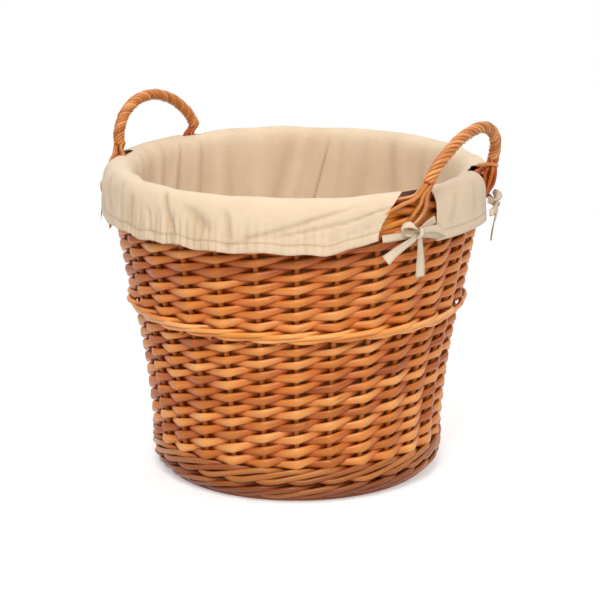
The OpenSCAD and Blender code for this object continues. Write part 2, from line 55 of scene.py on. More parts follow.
CAMERA_DISTANCE, CAMERA_HEIGHT = 2.905, 0.988
CAMERA_AZIMUTH = math.radians(32.1)
CAMERA_PITCH = math.radians(14.95)
CAMERA_YAW = math.radians(-0.083)
CAMERA_FOV = math.radians(14.56)


def make_camera():
    data = bpy.data.cameras.new("camera")
    data.sensor_width = 36.0
    data.lens = data.sensor_width / 2 / math.tan(CAMERA_FOV / 2)
    camera = bpy.data.objects.new("camera", data)
    camera.location = (
        CAMERA_DISTANCE * math.sin(CAMERA_AZIMUTH),
        -CAMERA_DISTANCE * math.cos(CAMERA_AZIMUTH),
        CAMERA_HEIGHT,
    )
    camera.rotation_euler = (math.pi / 2 - CAMERA_PITCH, 0, CAMERA_AZIMUTH + CAMERA_YAW)
    bpy.context.collection.objects.link(camera)
    bpy.context.scene.camera = camera


def area_light(name, azimuth, elevation, distance, size, power, color=(1, 1, 1)):
    """A square soft box that faces the basket. The azimuth is counted from the camera's."""
    a, e = CAMERA_AZIMUTH + math.radians(azimuth), math.radians(elevation)
    aim = Vector((0, 0, 0.22))
    back = Vector((math.sin(a) * math.cos(e), -math.cos(a) * math.cos(e), math.sin(e)))
    data = bpy.data.lights.new(name, "AREA")
    data.size, data.energy, data.color = size, power, color
    light = bpy.data.objects.new(name, data)
    light.location = aim + back * distance
    light.rotation_mode = "QUATERNION"
    light.rotation_quaternion = (-back).to_track_quat("-Z", "Y")
    bpy.context.collection.objects.link(light)


class Graph:
    """Short calls that build a node tree"""

    def __init__(self, tree):
        self.nodes, self.links = tree.nodes, tree.links

    def put(self, kind, **values):
        """A new node. A value goes to the input of that name, or else to the node's own property."""
        node = self.nodes.new("ShaderNode" + kind)
        for key, value in values.items():
            if key in node.inputs:
                self.set(node.inputs[key], value)
            else:
                setattr(node, key, value)
        return node

    def set(self, socket, value):
        if isinstance(value, bpy.types.NodeSocket):
            self.links.new(value, socket)
        else:
            socket.default_value = value

    def join(self, kind, *inputs, output=0, **values):
        """An output of a new node whose inputs are given in their order"""
        node = self.put(kind, **values)
        for socket, value in zip(node.inputs, inputs):
            self.set(socket, value)
        return node.outputs[output]

    def seen_directly(self):
        """1 for a ray from the camera, a mirror or a clear piece, else 0"""
        path = self.put("LightPath").outputs
        total = path["Is Camera Ray"]
        for ray in ("Is Glossy Ray", "Is Transmission Ray"):
            total = self.join("Math", total, path[ray], operation="MAXIMUM")
        return total


def make_world():
    world = bpy.data.worlds.new("studio")
    bpy.context.scene.world = world
    world.use_nodes = True
    world.node_tree.nodes.clear()
    g = Graph(world.node_tree)
    fill = g.join("Background", (1.0, 0.985, 0.96, 1), 0.45)
    white = g.join("Background", (1, 1, 1, 1), 1.0)
    g.put("OutputWorld", Surface=g.join("MixShader", g.seen_directly(), fill, white))


FLOOR_RADIUS = 1.6


def make_floor():
    """A pale round floor. A part of its light is its own, more so towards its edge, so that it runs
    into the white round it and keeps the basket's soft shadow."""
    mesh = bpy.data.meshes.new("floor")
    turn = [2 * math.pi * k / 96 for k in range(96)]
    rim = [(FLOOR_RADIUS * math.cos(a), FLOOR_RADIUS * math.sin(a), 0) for a in turn]
    mesh.from_pydata(rim, [], [list(range(96))])
    material = bpy.data.materials.new("floor")
    material.use_nodes = True
    material.node_tree.nodes.clear()
    g = Graph(material.node_tree)
    matt = g.join("BsdfDiffuse", (0.80, 0.80, 0.81, 1))
    plain = g.join("BsdfDiffuse", (0.72, 0.72, 0.72, 1))
    glow = g.put("Emission", Strength=0.40).outputs[0]
    white = g.put("Emission").outputs[0]
    far = g.join("VectorMath", g.put("TexCoord").outputs["Object"], output="Value", operation="LENGTH")
    edge = g.join("MapRange", far, 0.36, 0.85)
    seen = g.join("MixShader", edge, g.join("AddShader", matt, glow), white)
    g.put("OutputMaterial", Surface=g.join("MixShader", g.seen_directly(), plain, seen))
    mesh.materials.append(material)
    linked("floor", mesh)


def linked(name, mesh):
    piece = bpy.data.objects.new(name, mesh)
    bpy.context.collection.objects.link(piece)
    return piece


make_camera()
make_world()
make_floor()
area_light("key", -12, 46, 2.6, 1.1, 38, (1.0, 0.985, 0.96))
area_light("front", 16, 18, 3.2, 1.8, 17, (1.0, 0.99, 0.975))
area_light("right", 80, 40, 2.6, 1.4, 8)
area_light("back", 170, 60, 2.6, 1.6, 22)
bpy.context.scene.view_settings.view_transform = "Standard"

# ---- the wall's own shape, with the values of part.scad

STAKES = 28
STEP = 2 * math.pi / STAKES
STAKE_R = 3.5 * MM
SEAT = 0.3 * MM
FOOT_R, FOOT_ROD_R, FOOT_WEAR = 165.5 * MM, 4.5 * MM, 0.3 * MM
UPSETT_R, BEND_R = 160 * MM, 16 * MM
LEAN_LOW, LEAN_WALE, LEAN_TOP = 2.0, 12.8, 7.0
LOWER_LAYERS, UPPER_LAYERS, PITCH = 20, 14, 8.4 * MM
WALE_STEP, WALE_H = 5.2 * MM, 4.8 * MM
STOUT_STEP, STOUT_H = 7.7 * MM, 7.3 * MM
WALE_OFF = 7.2 * MM
WEAVE_OFF = 6.7 * MM
BORDER_H = 17 * MM
LEG_ANGLE = 1.5 * STEP

foot_z = FOOT_ROD_R - FOOT_WEAR
bend_reach = BEND_R + STAKE_R + FOOT_ROD_R + SEAT
bend_z = foot_z + math.sqrt(bend_reach**2 - (FOOT_R - UPSETT_R) ** 2)
BASE_Z = bend_z - BEND_R
BEND_LEN = BEND_R * math.radians(90 - LEAN_LOW)
outer_bend_r = BEND_R + WALE_OFF
first_low = math.asin((FOOT_R - UPSETT_R) / bend_reach) + (FOOT_ROD_R + SEAT + STOUT_H / 2) / outer_bend_r
first_step = STOUT_STEP / outer_bend_r
FIRST_MID = (first_low + first_step) * BEND_R
bend_left = math.radians(90 - LEAN_LOW) - first_low - 2 * first_step
SECOND_MID = BEND_LEN + 2 * STOUT_STEP - outer_bend_r * bend_left
LOWER_START = SECOND_MID + STOUT_STEP + STOUT_H / 2 + 0.4 * MM
LOWER_END = LOWER_START + LOWER_LAYERS * PITCH
WALE_MID = LOWER_END + WALE_STEP + WALE_H / 2 + 0.4 * MM
UPPER_START = WALE_MID + WALE_STEP + WALE_H / 2 + 0.4 * MM
UPPER_END = UPPER_START + UPPER_LAYERS * PITCH
TOP_MID = UPPER_END + STOUT_STEP + STOUT_H / 2
STAKE_END = TOP_MID + STOUT_STEP + STOUT_H / 2 + 0.4 * MM
CREST = STAKE_END + BORDER_H + 3.3 * MM


def wall_table():
    """Length along a stake, its slope, radius and height, from the floor inside to above the rim"""
    s = np.arange(-60 * MM, CREST + 120 * MM, 0.25 * MM)
    lean = np.radians([0, 0, 90 - LEAN_LOW, 90 - LEAN_WALE, 90 - LEAN_TOP, 90 - LEAN_TOP])
    slope = np.interp(s, [-60 * MM, 0, BEND_LEN, WALE_MID, STAKE_END, CREST + 1], lean)
    step = np.diff(s, prepend=s[0])
    r, z = np.cumsum(np.cos(slope) * step), np.cumsum(np.sin(slope) * step)
    start = np.searchsorted(s, 0)
    return s, slope, r - r[start] + UPSETT_R, z - z[start] + BASE_Z


WALL = wall_table()


def wall(s, off=0.0):
    """(radius, height, slope) at length s along a stake and off outside its middle"""
    slope = np.interp(s, WALL[0], WALL[1])
    r = np.interp(s, WALL[0], WALL[2]) + off * np.sin(slope)
    return r, np.interp(s, WALL[0], WALL[3]) - off * np.cos(slope), slope


def polar(r, turn, z):
    """Points in space at radius r, angle turn round the basket in radians, and height z"""
    return np.stack([r * np.cos(turn), r * np.sin(turn), z + 0 * turn], axis=-1)


def wall_xyz(turn, s, off=0.0):
    r, z, _ = wall(s, off)
    return polar(r, turn, z)


def wall_out(turn, s):
    slope = wall(s)[2]
    return polar(np.sin(slope), turn, -np.cos(slope))


# ---- meshes


def unit(v):
    return v / np.maximum(np.linalg.norm(v, axis=-1, keepdims=True), 1e-12)


def smooth_path(points, per_span):
    """Catmull-Rom curve through the points, with per_span samples in each span"""
    p = np.asarray(points, float)
    p = np.vstack([2 * p[0] - p[1], p, 2 * p[-1] - p[-2]])
    a, b, c, d = (q[:, None, :] for q in (p[:-3], p[1:-2], p[2:-1], p[3:]))
    t = np.linspace(0, 1, per_span, endpoint=False)[None, :, None]
    curve = 0.5 * (2 * b + (c - a) * t + (2 * a - 5 * b + 4 * c - d) * t**2 + (3 * b - a - 3 * c + d) * t**3)
    return np.vstack([curve.reshape(-1, p.shape[1]), p[-2]])


def mesh_piece(name, verts, faces, material, **attributes):
    """A smooth mesh, with an attribute for the material from each array of one number or three a point"""
    mesh = bpy.data.meshes.new(name)
    mesh.from_pydata(verts, [], faces)
    mesh.polygons.foreach_set("use_smooth", np.ones(len(mesh.polygons), bool))
    for label, values in attributes.items():
        kind, field = ("FLOAT_VECTOR", "vector") if values.ndim == 2 else ("FLOAT", "value")
        layer = mesh.attributes.new(label, kind, "POINT")
        layer.data.foreach_set(field, values.astype(np.float32).reshape(-1))
    mesh.materials.append(material)
    return linked(name, mesh)


def run_length(path):
    """Length from a path's start to each of its points"""
    return np.concatenate([[0], np.cumsum(np.linalg.norm(np.diff(path, axis=0), axis=1))])


class Tubes:
    """Collects tubes, and makes one mesh of them"""

    def __init__(self):
        self.verts, self.quads, self.caps, self.values, self.count = [], [], [], [], 0

    def tube(self, ring, closed=False, **values):
        """ring holds the sections in turn. values are the attributes, for each point of each section."""
        n, sides = ring.shape[:2]
        ids = self.count + np.arange(n * sides).reshape(n, sides)
        beside = np.roll(ids, -1, 1)
        quads = np.stack([ids, np.roll(ids, -1, 0), np.roll(beside, -1, 0), beside], axis=-1)
        self.quads.append(quads[: n if closed else n - 1].reshape(-1, 4))
        if not closed:
            self.caps += [ids[0].tolist(), ids[-1, ::-1].tolist()]
        self.verts.append(ring.reshape(-1, 3))
        self.values.append(values)
        self.count += n * sides

    def build(self, name, material):
        faces = np.vstack(self.quads).tolist() + self.caps
        values = {key: np.concatenate([v[key] for v in self.values]) for key in self.values[0]}
        return mesh_piece(name, np.vstack(self.verts), faces, material, **values)


class Strands(Tubes):
    """Rods with an oval section"""

    def __init__(self, sides=12):
        super().__init__()
        self.sides = sides

    def add(self, path, out, across, high, closed=False, tone=None, deep=0.0, groove=0.12):
        """path and out are n by 3: the middle line, and which way is outwards.
        across and high are the half sizes. deep is 0 at the face of the weave and 1 behind it; groove is how
        much deeper a rod's inner side counts. The willow materials paint shade by them."""
        n, sides = len(path), self.sides
        if closed:
            tangent = unit(np.roll(path, -1, 0) - np.roll(path, 1, 0))
        else:
            tangent = unit(np.gradient(path, axis=0))
        side = unit(np.cross(tangent, out))
        face = np.cross(side, tangent)
        turn = np.linspace(0, 2 * math.pi, sides, endpoint=False)
        across = np.broadcast_to(across, n)[:, None, None]
        high = np.broadcast_to(high, n)[:, None, None]
        ring = (
            path[:, None, :]
            + face[:, None, :] * across * np.cos(turn)[None, :, None]
            + side[:, None, :] * high * np.sin(turn)[None, :, None]
        )
        tone = RNG.random() if tone is None else tone
        seed = RNG.random() * 40
        grain = [
            np.repeat(run_length(path) + seed, sides),
            np.tile(np.cos(turn) * 3 * MM, n) + seed,
            np.tile(np.sin(turn) * 3 * MM, n) + seed,
        ]
        deep = (np.broadcast_to(deep, n)[:, None] + groove * (1 - np.cos(turn))[None, :]).reshape(-1)
        self.tube(ring, closed, tone=np.full(n * sides, tone), deep=deep, grain=np.stack(grain, axis=-1))


# ---- materials


class Shade(Graph):
    """A node material in the making"""

    def __init__(self, name):
        self.material = bpy.data.materials.new(name)
        self.material.use_nodes = True
        super().__init__(self.material.node_tree)
        self.bsdf = next(n for n in self.nodes if n.type == "BSDF_PRINCIPLED")

    def attribute(self, name, output="Fac"):
        return self.put("Attribute", attribute_name=name).outputs[output]

    def stretched(self, vector, x, y, z):
        return self.join("VectorMath", vector, (x, y, z), operation="MULTIPLY")

    def noise(self, vector, stretch, detail, rough=0.55):
        at = self.stretched(vector, *stretch)
        return self.put("TexNoise", Vector=at, Scale=1.0, Detail=detail, Roughness=rough).outputs["Fac"]

    def ramp(self, fac, *stops):
        node = self.put("ValToRGB")
        self.set(node.inputs[0], fac)
        elements = node.color_ramp.elements
        while len(elements) < len(stops):
            elements.new(0.5)
        for element, (at, color) in zip(elements, stops):
            element.position = at
            element.color = (*color, 1) if hasattr(color, "__len__") else (color, color, color, 1)
        return node.outputs[0]

    def sum(self, *terms):
        """Weighted sum of (socket, weight) pairs"""
        total = 0.0
        for socket, weight in terms:
            total = self.join("Math", socket, weight, total, operation="MULTIPLY_ADD")
        return total

    def mix(self, fac, a, b, blend="MIX"):
        node = self.put("Mix", data_type="RGBA", blend_type=blend)
        self.set(node.inputs[0], fac)
        self.set(node.inputs[6], (*a, 1) if isinstance(a, tuple) else a)
        self.set(node.inputs[7], (*b, 1) if isinstance(b, tuple) else b)
        return node.outputs[2]

    def bump(self, height, strength, distance):
        return self.put("Bump", Height=height, Strength=strength, Distance=distance).outputs[0]

    def finish(self, color, rough, normal, **values):
        self.set(self.bsdf.inputs["Base Color"], color)
        self.set(self.bsdf.inputs["Roughness"], rough)
        self.set(self.bsdf.inputs["Normal"], normal)
        for key, value in values.items():
            self.bsdf.inputs[key.replace("_", " ")].default_value = value
        return self.material


def willow(name, pale, middle, dark, from_strands=True):
    """Varnished buff willow: each rod has its own tone, streaks along it and bud scars, and has shade painted
    in, darker and redder where the weave shades it"""
    s = Shade(name)
    if from_strands:
        grain, tone = s.attribute("grain", "Vector"), s.attribute("tone")
        inner = s.ramp(s.attribute("deep"), (0.10, 0.0), (0.95, 1.0))
    else:
        grain = s.put("TexCoord").outputs["Object"]
        tone, inner = s.noise(grain, (9, 9, 1), 1.0), 0.35
    streak = s.noise(grain, (22, 420, 420), 4.0, 0.6)
    broad = s.noise(grain, (9, 60, 60), 2.0)
    mixed = s.sum((tone, 0.46), (broad, 0.66), (streak, 0.40), (1.0, -0.26))
    color = s.ramp(mixed, (0.12, dark), (0.48, middle), (0.86, pale))
    scars = s.ramp(s.noise(grain, (38, 150, 150), 1.0), (0.70, 0.0), (0.78, 1.0))
    color = s.mix(s.sum((scars, 0.5)), color, tuple(0.42 * c for c in dark))
    # Painted shade: by the deep attribute, rods turn darker and redder behind the face of the weave and on
    # their inner sides; the sticks take a fixed share of it everywhere.
    shaded_color = s.mix(1.0, color, (0.72, 0.36, 0.12), "MULTIPLY")
    color = s.mix(inner, color, shaded_color)
    height = s.sum((streak, 0.6), (broad, 0.5), (scars, 0.8))
    rough = s.sum((streak, 0.22), (1.0, 0.24))
    normal = s.bump(height, 0.4, 0.5 * MM)
    return s.finish(color, rough, normal, Coat_Weight=0.14, Coat_Roughness=0.25, Specular_IOR_Level=0.32)


def cloth(name, pale, shade, fold_shade):
    """Washed cotton: slubs both ways, a fine weave in the bump, and painted shade in its hollows, folds and
    seams. Its outward face behind the weave is tinted a light brown, painted shade that stands in for the
    willow's shade."""
    s = Shade(name)
    at = s.attribute("cloth", "Vector")
    slub_a, slub_b = s.noise(at, (1500, 40, 1), 2.0), s.noise(at, (40, 1500, 1), 2.0)
    patch = s.noise(at, (18, 18, 1), 3.0)
    mixed = s.sum((slub_a, 0.3), (slub_b, 0.3), (patch, 0.4))
    color = s.ramp(mixed, (0.34, shade), (0.62, pale))
    # Painted shade: by the hollow attribute the cloth is darkened in its folds, gathers, seams and stitched
    # hem.
    color = s.mix(s.ramp(s.attribute("hollow"), (0.0, 0.0), (1.0, 0.85)), color, fold_shade)
    place = s.put("TexCoord").outputs
    away = s.stretched(place["Object"], 1, 1, 0)
    facing = s.join("VectorMath", place["Normal"], away, output="Value", operation="DOT_PRODUCT")
    outward = s.join("Math", facing, 0.0, operation="GREATER_THAN")
    behind = s.join("Math", outward, s.attribute("behind"), operation="MULTIPLY")
    color = s.mix(behind, color, (0.60, 0.38, 0.21))
    waved = {"Scale": 280.0, "Distortion": 1.5, "Detail": 1.0}
    weave_a = s.put("TexWave", Vector=s.stretched(at, 1, 0, 0), **waved).outputs["Fac"]
    weave_b = s.put("TexWave", Vector=s.stretched(at, 0, 1, 0), bands_direction="Y", **waved).outputs["Fac"]
    height = s.sum((slub_a, 0.5), (slub_b, 0.5), (weave_a, 0.25), (weave_b, 0.25))
    normal = s.bump(height, 0.3, 0.35 * MM)
    return s.finish(color, 0.88, normal, Sheen_Weight=0.25, Sheen_Roughness=0.5, Specular_IOR_Level=0.2)


# Each with its pale, middle and dark colour, and the cottons with pale, duller and the painted shade of a
# hollow
WEAVER = willow("weaver willow", (0.88, 0.42, 0.13), (0.66, 0.205, 0.030), (0.32, 0.066, 0.006))
WALE = willow("wale willow", (0.98, 0.56, 0.22), (0.84, 0.32, 0.065), (0.46, 0.11, 0.014))
# The upsett and the foot hoop take darker willow: painted shade for the rods at the foot, which face down and
# away from the lamps.
STOUT = willow("upsett willow", (0.56, 0.21, 0.045), (0.34, 0.088, 0.012), (0.19, 0.036, 0.004))
BORDER = willow("border willow", (0.84, 0.36, 0.08), (0.66, 0.20, 0.024), (0.34, 0.07, 0.006))
ROPE = willow("rope willow", (0.80, 0.38, 0.13), (0.54, 0.185, 0.036), (0.20, 0.045, 0.007))
STICK = willow("stick willow", (0.72, 0.27, 0.06), (0.52, 0.15, 0.022), (0.24, 0.05, 0.006), False)
LINEN = cloth("liner cotton", (0.77, 0.61, 0.445), (0.68, 0.52, 0.36), (0.45, 0.30, 0.17))
TAPE = cloth("tie cotton", (0.78, 0.65, 0.49), (0.68, 0.55, 0.39), (0.40, 0.30, 0.18))


def elastic_material():
    s = Shade("covered elastic")
    at = s.put("TexCoord").outputs["Object"]
    rib = s.put("TexWave", bands_direction="Z", Vector=at, Scale=220.0, Distortion=0.0).outputs["Fac"]
    color = s.ramp(rib, (0.2, (0.74, 0.73, 0.69)), (0.8, (0.90, 0.89, 0.86)))
    return s.finish(color, 0.7, s.bump(rib, 0.5, 0.3 * MM))


ELASTIC = elastic_material()

# ---- weaving

SAMPLES = 14  # points on a rod from one stake to the next


def zigzag(u, bend=0.14):
    """1 in front of a stake, -1 behind the next, nearly straight between with a rounded kink at each"""
    saw = 1 - 2 * np.abs((u + 1) % 2 - 1)
    limit = 1 - bend
    over = np.maximum(np.abs(saw) - limit, 0)
    return np.sign(saw) * (np.abs(saw) - over * over / (2 * bend)) / (1 - bend / 2)


def wander(length, size, seed, spacing):
    """A gentle random drift along a rod"""
    rng = np.random.default_rng(seed)
    knots = rng.normal(0, size, int(length / spacing) + 4)
    return lambda x: np.interp(x / spacing, np.arange(len(knots)), knots)


def french_rand(name, start, layers, seed):
    """One weaver starts at each stake. It passes in front of one and behind the next, a layer up at each."""
    rods = Strands()
    rng = np.random.default_rng(seed)
    for j in range(STAKES):
        u = np.arange(-0.92, layers - 0.35, 1 / SAMPLES)
        z = np.where(u < 0, u * 0.35, u)
        z = np.where(z > layers - 1, layers - 1 + (z - layers + 1) * 0.3, z)
        weave = zigzag(u)
        drift = wander(layers + 2, 0.35 * MM, seed * 100 + j, 1.7)(u + 1)
        s = start + (z + 0.5) * PITCH + drift
        girth = rng.normal(1.0, 0.045) * np.interp(u, [-1, layers], [1.04, 0.93])
        girth = girth * (1 + wander(layers + 2, 0.04, seed * 200 + j, 1.3)(u + 1))
        turn = (j + 0.5 + u) * STEP
        high = (4.65 + 1.15 * np.clip(weave, 0, 1) ** 1.5 + 1.3 * np.clip(-weave, 0, 1) ** 1.5) * MM * girth
        across = 3.2 * MM * girth
        path = wall_xyz(turn, s, weave * WEAVE_OFF)
        rods.add(path, wall_out(turn, s), across, high, deep=0.5 - 0.5 * weave)
    return rods.build(name, WEAVER)


WALE_ROD_W = 2.95 * MM  # half a rod's width


def wale_rings(rods, mid, step, bulge, half_h, seed):
    """Four rods that pass in front of three stakes and behind the fourth, rising as they go"""
    rng = np.random.default_rng(seed)
    for rod in range(4):
        knots = []
        for j in range(STAKES):
            turn = (j + rod) % 4
            rise = (0, -1, 0, 1)[turn] * step + rng.normal(0, 0.35 * MM)
            off = -WALE_OFF if turn == 0 else WALE_OFF - 0.4 * MM + bulge * (0, 0.1, 0.55, 1)[turn]
            knots.append(((j + 0.5) * STEP, mid + rise, off, 1 + rng.normal(0, 0.06)))
        knots = smooth_path(knots, 10)
        first = np.array(knots[0])
        last = first + (STAKES * STEP, 0, 0, 0)
        tail = smooth_path([knots[-11], knots[-1], last, last + (knots[10] - first)], 10)[10:20]
        k = np.vstack([knots[:-1], tail])
        path = wall_xyz(k[:, 0], k[:, 1], k[:, 2])
        deep = np.clip(0.5 - k[:, 2] / WALE_OFF / 2, 0, 1)
        across, high = WALE_ROD_W * k[:, 3], half_h * k[:, 3]
        rods.add(path, wall_out(k[:, 0], k[:, 1]), across, high, closed=True, deep=deep)


def wales(name, bands, material):
    rods = Strands()
    for i, band in enumerate(bands):
        wale_rings(rods, *band, seed=len(name) * 10 + i)
    return rods.build(name, material)


def dress(piece, body, *nodes, slot):
    """The piece rides on the body and stands for the nodes"""
    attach(piece, body)
    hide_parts(*nodes)
    return piece


def willow_piece(piece, *nodes, slot):
    return dress(piece, "basket", *nodes, slot=slot)


WEAVER_SLOT, WALE_SLOT = "weaver_willow", "wale_willow"
willow_piece(french_rand("lower_rand", LOWER_START, LOWER_LAYERS, 3), "lower_weavers", slot=WEAVER_SLOT)
willow_piece(french_rand("upper_rand", UPPER_START, UPPER_LAYERS, 5), "upper_weavers", slot=WEAVER_SLOT)
# Bands of a wale: the middle's place, the rise at each stake, the bulge outwards and half a rod's height
MIDDLE = [(WALE_MID, WALE_STEP, 5 * MM, 3.1 * MM)]
UPSETT = [(FIRST_MID, STOUT_STEP * BEND_R / outer_bend_r, 0, 3.6 * MM), (SECOND_MID, STOUT_STEP, 0, 3.7 * MM)]
TOP = [(TOP_MID, STOUT_STEP, 0, 4.15 * MM)]
willow_piece(wales("middle_wale_rods", MIDDLE, WALE), "middle_wale", slot=WALE_SLOT)
willow_piece(wales("upsett_rods", UPSETT, STOUT), "upsett_wale", slot=WALE_SLOT)
willow_piece(wales("top_wale_rods", TOP, BORDER), "top_wale", slot=WALE_SLOT)


def is_leg(j):
    """True for the four places where a handle's leg stands in for the stake"""
    from_middle = (j + 0.5) * STEP % math.pi
    return min(abs(from_middle - LEG_ANGLE), abs(math.pi - from_middle - LEG_ANGLE)) < STEP / 4


def border():
    """Each stake bends down behind the next, in front of two and in behind the one after"""
    rods = Strands()
    off, low = 7.5 * MM, 3.6 * MM
    high = low + 6.9 * MM
    route = [
        (0.00, 0, 0.3 * MM), (0.05, -1 * MM, 4 * MM), (0.40, -off * 0.7, high - 2 * MM), (1.00, -off, high),
        (1.50, 0, BORDER_H), (2.00, off, high), (2.50, off * 1.1, (low + high) / 2), (3.00, off, low),
        (3.50, 0, low - 1.5 * MM), (3.90, -off, low),
    ]
    rng = np.random.default_rng(11)
    for j in range(STAKES):
        if is_leg(j):
            continue
        k = smooth_path(route, 7)
        turn = (j + 0.5 + k[:, 0]) * STEP
        s = STAKE_END + k[:, 2] + rng.normal(0, 0.3 * MM)
        size = 4.0 * MM * rng.normal(1.0, 0.04)
        deep = np.clip(0.4 - k[:, 1] / off / 2, 0, 1)
        rods.add(wall_xyz(turn, s, k[:, 1]), wall_out(turn, s), size, size * 1.08, deep=deep)
    return rods.build("border_rods", BORDER)


willow_piece(border(), "rim_border", slot="border_willow")


# ---- foot and base

STICKS = 7
BASE_ROUNDS, BASE_ROD_R = 16, 2.8 * MM
BASE_FIRST, BASE_LAST = 51 * MM, UPSETT_R - STAKE_R - 4 * BASE_ROD_R
BASE_OVER = 4.5 * MM + SEAT + BASE_ROD_R


def foot():
    rods = Strands(16)
    turn = np.linspace(0, 2 * math.pi, 240, endpoint=False)
    path, out = polar(FOOT_R, turn, FOOT_ROD_R), polar(1, turn, 0)
    rods.add(path, out, FOOT_ROD_R, FOOT_ROD_R, closed=True, tone=0.4, deep=0.2)
    return rods.build("foot_hoop", STOUT)


def base_rounds():
    """Rounds of thin rod woven over and under the ends of the base sticks"""
    rods = Strands(8)
    turn = np.linspace(0, 2 * math.pi, 420, endpoint=False)
    for i in range(BASE_ROUNDS):
        r = BASE_FIRST + (BASE_LAST - BASE_FIRST) * i / (BASE_ROUNDS - 1)
        wave = np.clip(1.6 * np.cos(STICKS * (turn - STEP)), -1, 1) * (1 if i % 2 else -1)
        path = polar(r, turn, BASE_Z + wave * BASE_OVER)
        rods.add(path, polar(1, turn, 0), BASE_ROD_R, BASE_ROD_R * 0.95, closed=True, deep=0.25)
    return rods.build("base_weaving", WEAVER)


willow_piece(foot(), "foot_ring", slot=WALE_SLOT)
willow_piece(base_rounds(), "base_weave", slot=WEAVER_SLOT)

# ---- handles

LEG_R, LEG_Z, _ = wall(CREST)
FOOT_ANGLE = LEG_ANGLE + math.radians(1.4)
FOOT_RISE, ARCH_H, ARCH_SKEW, ARCH_TAPER = 13.5 * MM, 56 * MM, 15 * MM, 0.08
BUNDLE, ROPE_R = 5.0 * MM, 2.3 * MM  # strand circle and strand half size
ROPE_STRANDS, ROPE_TURNS = 6, {1: 4.8, -1: 6.4}
OUT_FACE = 7.6 * MM * 1.03 + 3.3 * MM + SEAT + ROPE_R
# How far the feet stand out from the legs, then in degrees the outward lean and the swing round the rim
ARCH = {1: (17.5 * MM, 14.5, 1.3), -1: (3 * MM, 6, -1.4)}


def arch_line(t, foot):
    """Middle line of the arch in its own plane, at share t of its half turn"""
    a, s = math.pi * t, math.sin(math.pi * t)
    return np.array([
        math.cos(a) * foot * math.sin(FOOT_ANGLE) * (1 - ARCH_TAPER * s) + ARCH_SKEW * s,
        ARCH_H * s,
    ])


def arch_point(side, t, r, w):
    """Point beside the handle's middle line: outside the arch at w = 0, and away from the basket at a
    quarter turn"""
    out, *turned = ARCH[side]
    lean, swing = np.radians(turned)
    foot = LEG_R + out
    line = unit(arch_line(t + 0.01, foot) - arch_line(t - 0.01, foot))
    q = arch_line(t, foot) + r * math.cos(w) * np.array([line[1], -line[0]])
    over = r * math.sin(w)
    x = foot * math.cos(FOOT_ANGLE) + over * math.cos(lean) + q[1] * math.sin(lean)
    z = LEG_Z + FOOT_RISE - over * math.sin(lean) + q[1] * math.cos(lean)
    c, d = side * math.cos(swing), side * math.sin(swing)
    return np.array([x * c - q[0] * d, x * d + q[0] * c, z])


def beside_leg(side, end, steps, off, high):
    """Point near a leg: steps away from the handle's middle, and in mm outside the wall and above the
    stakes' end"""
    turn = end * (LEG_ANGLE + steps * STEP) + (0 if side > 0 else math.pi)
    return wall_xyz(np.array(turn), np.array(STAKE_END + high * MM), off * MM)


# Where each of the six strands goes at a leg: its place round the rope as it leaves the arch, in
# degrees, then points as (steps, off in mm, height in mm). Key: handle and end of its arch.
OUT = OUT_FACE / MM
FANNED = [
    (-30, [
        (0.12, 7, 27), (0.22, 6.5, 23), (0.45, 5.5, 21.6), (0.75, 4, 21.2), (1.1, 1, 21.2), (1.4, -4, 20),
    ]),
    (30, [
        (0.15, 12.5, 26), (0.3, 12.4, 20.5), (0.55, 12.6, 17), (0.85, OUT, 12), (1.15, OUT, 5), (1.3, 10, 0),
    ]),
    (75, [(0.1, 16.5, 25), (0.14, 16, 16), (0.24, 14.5, 6), (0.34, 13.6, -2), (0.38, 9, -9)]),
    (120, [
        (0.02, 18, 25), (0, 17, 14), (0.04, 15.6, 3), (0.22, 14.8, -8), (0.5, 14.2, -14.5), (0.72, 11, -18),
    ]),
    (175, [
        (-0.05, 15.5, 25), (-0.06, 16, 14), (-0.02, 15, 3), (0.12, 14.4, -8), (0.34, 13.8, -17),
        (0.45, 9, -21),
    ]),
    (240, [(0, 7, 26), (-0.03, 0, 20), (-0.05, -5, 12), (0, -7.5, 2)]),
]
BULGED = [
    (0, [(0.13, 15.5, 30), (0.17, 14.5, 20), (0.16, 14, 8), (0.1, 13.6, -3), (0.02, 10, -11)]),
    (50, [(0.12, 19, 30), (0.16, 19, 20), (0.15, 18, 9), (0.08, 15, -2), (0, 13, -10), (-0.05, 9, -16)]),
    (100, [
        (0.06, 21.5, 30), (0.06, 22.5, 20), (0.05, 21.5, 9), (0, 16.5, -2), (-0.06, 13.6, -10),
        (-0.1, 9, -17),
    ]),
    (150, [(0, 19, 30), (-0.03, 18.5, 19), (-0.04, 17, 8), (-0.06, 14.5, -2), (-0.1, 12, -9)]),
    (200, [(0.01, 12.5, 29), (0, 10.5, 22), (-0.04, 11.6, 10), (-0.06, 12, 2), (-0.04, 8, -6)]),
    (280, [(0.05, 9, 30), (0.05, 3, 22), (0.03, -4, 14), (0, -7.5, 3)]),
]
GRIPPED = [
    (-20, [(0.1, 5, 27), (0.2, 5.2, 22.6), (0.34, 5, 21), (0.6, 3.5, 20.8), (0.9, 0, 20), (1.1, -4, 17)]),
    (40, [(0.12, 8.5, 26), (0.2, 11.4, 20.5), (0.32, OUT, 13), (0.5, OUT, 4), (0.7, 10, -4)]),
    (90, [(0.06, 9.5, 26), (0.08, 12.5, 18), (0.1, OUT, 8), (0.16, OUT, -2), (0.22, 9, -10)]),
    (140, [(0, 8, 26), (-0.02, 11.6, 18), (-0.02, OUT, 8), (0.02, OUT, -2), (0.05, 9, -10)]),
    (200, [(-0.02, 3, 25), (-0.04, -1, 17), (-0.04, -5, 9), (0, -7.5, 0)]),
    (270, [(0.04, -2, 26), (0.05, -5.5, 18), (0.05, -7, 10), (0.05, -8, 0)]),
]
LEG_ROUTES = {(1, -1): FANNED, (1, 1): BULGED, (-1, 1): GRIPPED, (-1, -1): GRIPPED}


